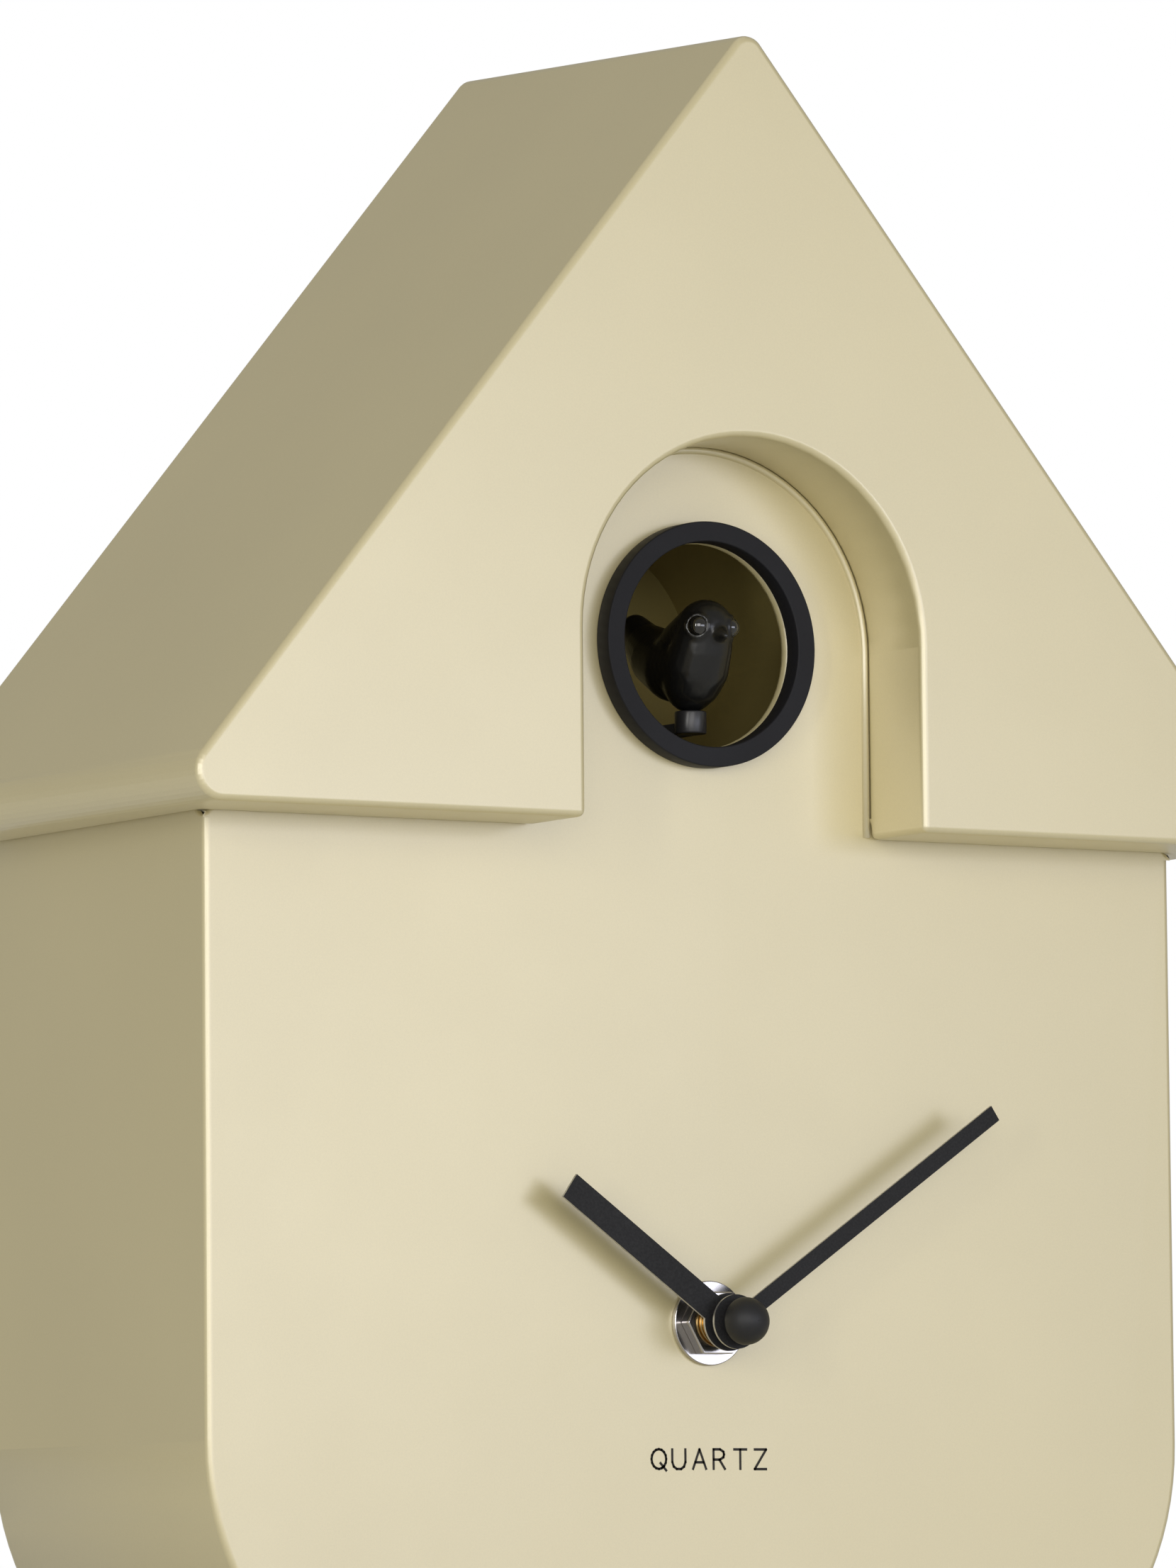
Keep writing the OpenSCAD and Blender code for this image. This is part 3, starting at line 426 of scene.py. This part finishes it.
# ---------------------------------------------------------------- plain lettering low on the front
# strokes of each letter on a 0..1 square, as chains of points
LETTERS = {
    "Q": [[(0.5 + 0.5 * math.cos(a * math.pi / 8), 0.5 + 0.5 * math.sin(a * math.pi / 8)) for a in range(17)],
          [(0.6, 0.3), (1.0, -0.08)]],
    "U": [[(0, 1), (0, 0.35), (0.1, 0.12), (0.3, 0), (0.6, 0), (0.8, 0.12), (0.9, 0.35), (0.9, 1)]],
    "A": [[(0, 0), (0.45, 1), (0.9, 0)], [(0.17, 0.34), (0.73, 0.34)]],
    "R": [[(0, 0), (0, 1), (0.45, 1), (0.68, 0.88), (0.72, 0.74), (0.68, 0.6), (0.45, 0.48), (0, 0.48)],
          [(0.4, 0.48), (0.78, 0)]],
    "T": [[(0, 1), (0.85, 1)], [(0.425, 1), (0.425, 0)]],
    "Z": [[(0, 1), (0.8, 1), (0, 0), (0.8, 0)]],
}
WORD = "QUARTZ"
WORD_X, WORD_Z = -0.0118, 0.0454
CAP_H, CAP_W, PITCH, STROKE = 0.0034, 0.0030, 0.00425, 0.00045
STROKE_TIP = STROKE / 2.6    # how far a stroke runs past its end points
INK_LIFT = 0.00003


def make_lettering():
    bm = bmesh.new()
    y = FACE_Y - INK_LIFT
    for i, letter in enumerate(WORD):
        for chain in LETTERS[letter]:
            points = [Vector((WORD_X + i * PITCH + u * CAP_W, y, WORD_Z + v * CAP_H)) for u, v in chain]
            for a, b in zip(points, points[1:]):
                side = (b - a).cross(Vector((0, 1, 0))).normalized() * STROKE / 2
                tip = (b - a).normalized() * STROKE_TIP
                corners = [a - tip - side, b + tip - side, b + tip + side, a - tip + side]
                face = bm.faces.new([bm.verts.new(c) for c in corners])
                face.normal_update()
                if face.normal.y > 0:
                    face.normal_flip()
    mesh = bpy.data.meshes.new("front_lettering")
    bm.to_mesh(mesh)
    bm.free()
    new_object("front_lettering", mesh, ink, "case")


make_lettering()


# ---------------------------------------------------------------- floor, light, background
FLOOR_HALF = 6.0
FLOOR_DROP = 0.0005     # below the clock, so that the two never share a plane


def add_floor():
    mesh = bpy.data.meshes.new("floor")
    side = FLOOR_HALF
    mesh.from_pydata([(-side, -side, 0), (side, -side, 0), (side, side, 0), (-side, side, 0)], [], [(0, 1, 2, 3)])
    floor = bpy.data.objects.new("floor", mesh)
    floor.location.z = -FLOOR_DROP
    scene.collection.objects.link(floor)
    mesh.materials.append(finish("floor_paper", (0.80, 0.80, 0.79), 0.7, grain=600, relief=0.05, vary=0.01))


def add_area(name, pos, aim, size, power, colour=(1, 1, 1), floor_state="EXCLUDE"):
    """Soft box. floor_state EXCLUDE keeps its light off the floor, and INCLUDE gives it to the floor alone.

    The boxes are low and close to the clock, and would cut a hard bright band across the floor behind it.
    """
    data = bpy.data.lights.new(name, "AREA")
    data.shape = "RECTANGLE"
    data.size, data.size_y = size
    data.energy = power
    data.color = colour
    light = bpy.data.objects.new(name, data)
    light.location = pos
    light.rotation_euler = (Vector(aim) - Vector(pos)).to_track_quat("-Z", "Y").to_euler()
    scene.collection.objects.link(light)
    group = bpy.data.collections.new(name + "_receivers")
    group.objects.link(bpy.data.objects["floor"])
    group.collection_objects[0].light_linking.link_state = floor_state
    light.light_linking.receiver_collection = group


FILL = (1, 0.97, 0.88, 1)
FILL_STRENGTH = 0.36


def add_world():
    """White where the camera looks past the clock, and a dimmer warm fill for everything else."""
    world = bpy.data.worlds.new("studio")
    world.use_nodes = True
    scene.world = world
    tree = world.node_tree
    tree.nodes.clear()
    out = tree.nodes.new("ShaderNodeOutputWorld")
    seen = tree.nodes.new("ShaderNodeBackground")
    seen.inputs["Color"].default_value = (1, 1, 1, 1)
    seen.inputs["Strength"].default_value = 1.0
    fill = tree.nodes.new("ShaderNodeBackground")
    fill.inputs["Color"].default_value = FILL
    fill.inputs["Strength"].default_value = FILL_STRENGTH
    pick = tree.nodes.new("ShaderNodeMixShader")
    path = tree.nodes.new("ShaderNodeLightPath")
    tree.links.new(path.outputs["Is Camera Ray"], pick.inputs[0])
    tree.links.new(fill.outputs[0], pick.inputs[1])
    tree.links.new(seen.outputs[0], pick.inputs[2])
    tree.links.new(pick.outputs[0], out.inputs["Surface"])


add_floor()
add_world()
add_area("key", (-0.66, -1.36, 0.25), (0, 0, 0.15), (0.9, 0.9), 9.8, (1.0, 0.98, 0.99))
add_area("sheen", (0.42, -1.55, 0.05), (0, 0, 0.08), (1.2, 0.8), 9.5, (0.92, 0.95, 1.12))
add_area("edge", (-1.50, -0.95, 0.25), (0, 0, 0.14), (0.12, 1.0), 8, (1.0, 0.99, 0.95))
add_area("top", (0.0, 0.1, 1.6), (0, 0, 0.15), (1.2, 1.2), 1.0)
add_area("wash", (0.0, 0.0, 3.2), (0, 0, 0), (6.0, 6.0), 60, floor_state="INCLUDE")

scene.view_settings.view_transform = "Standard"
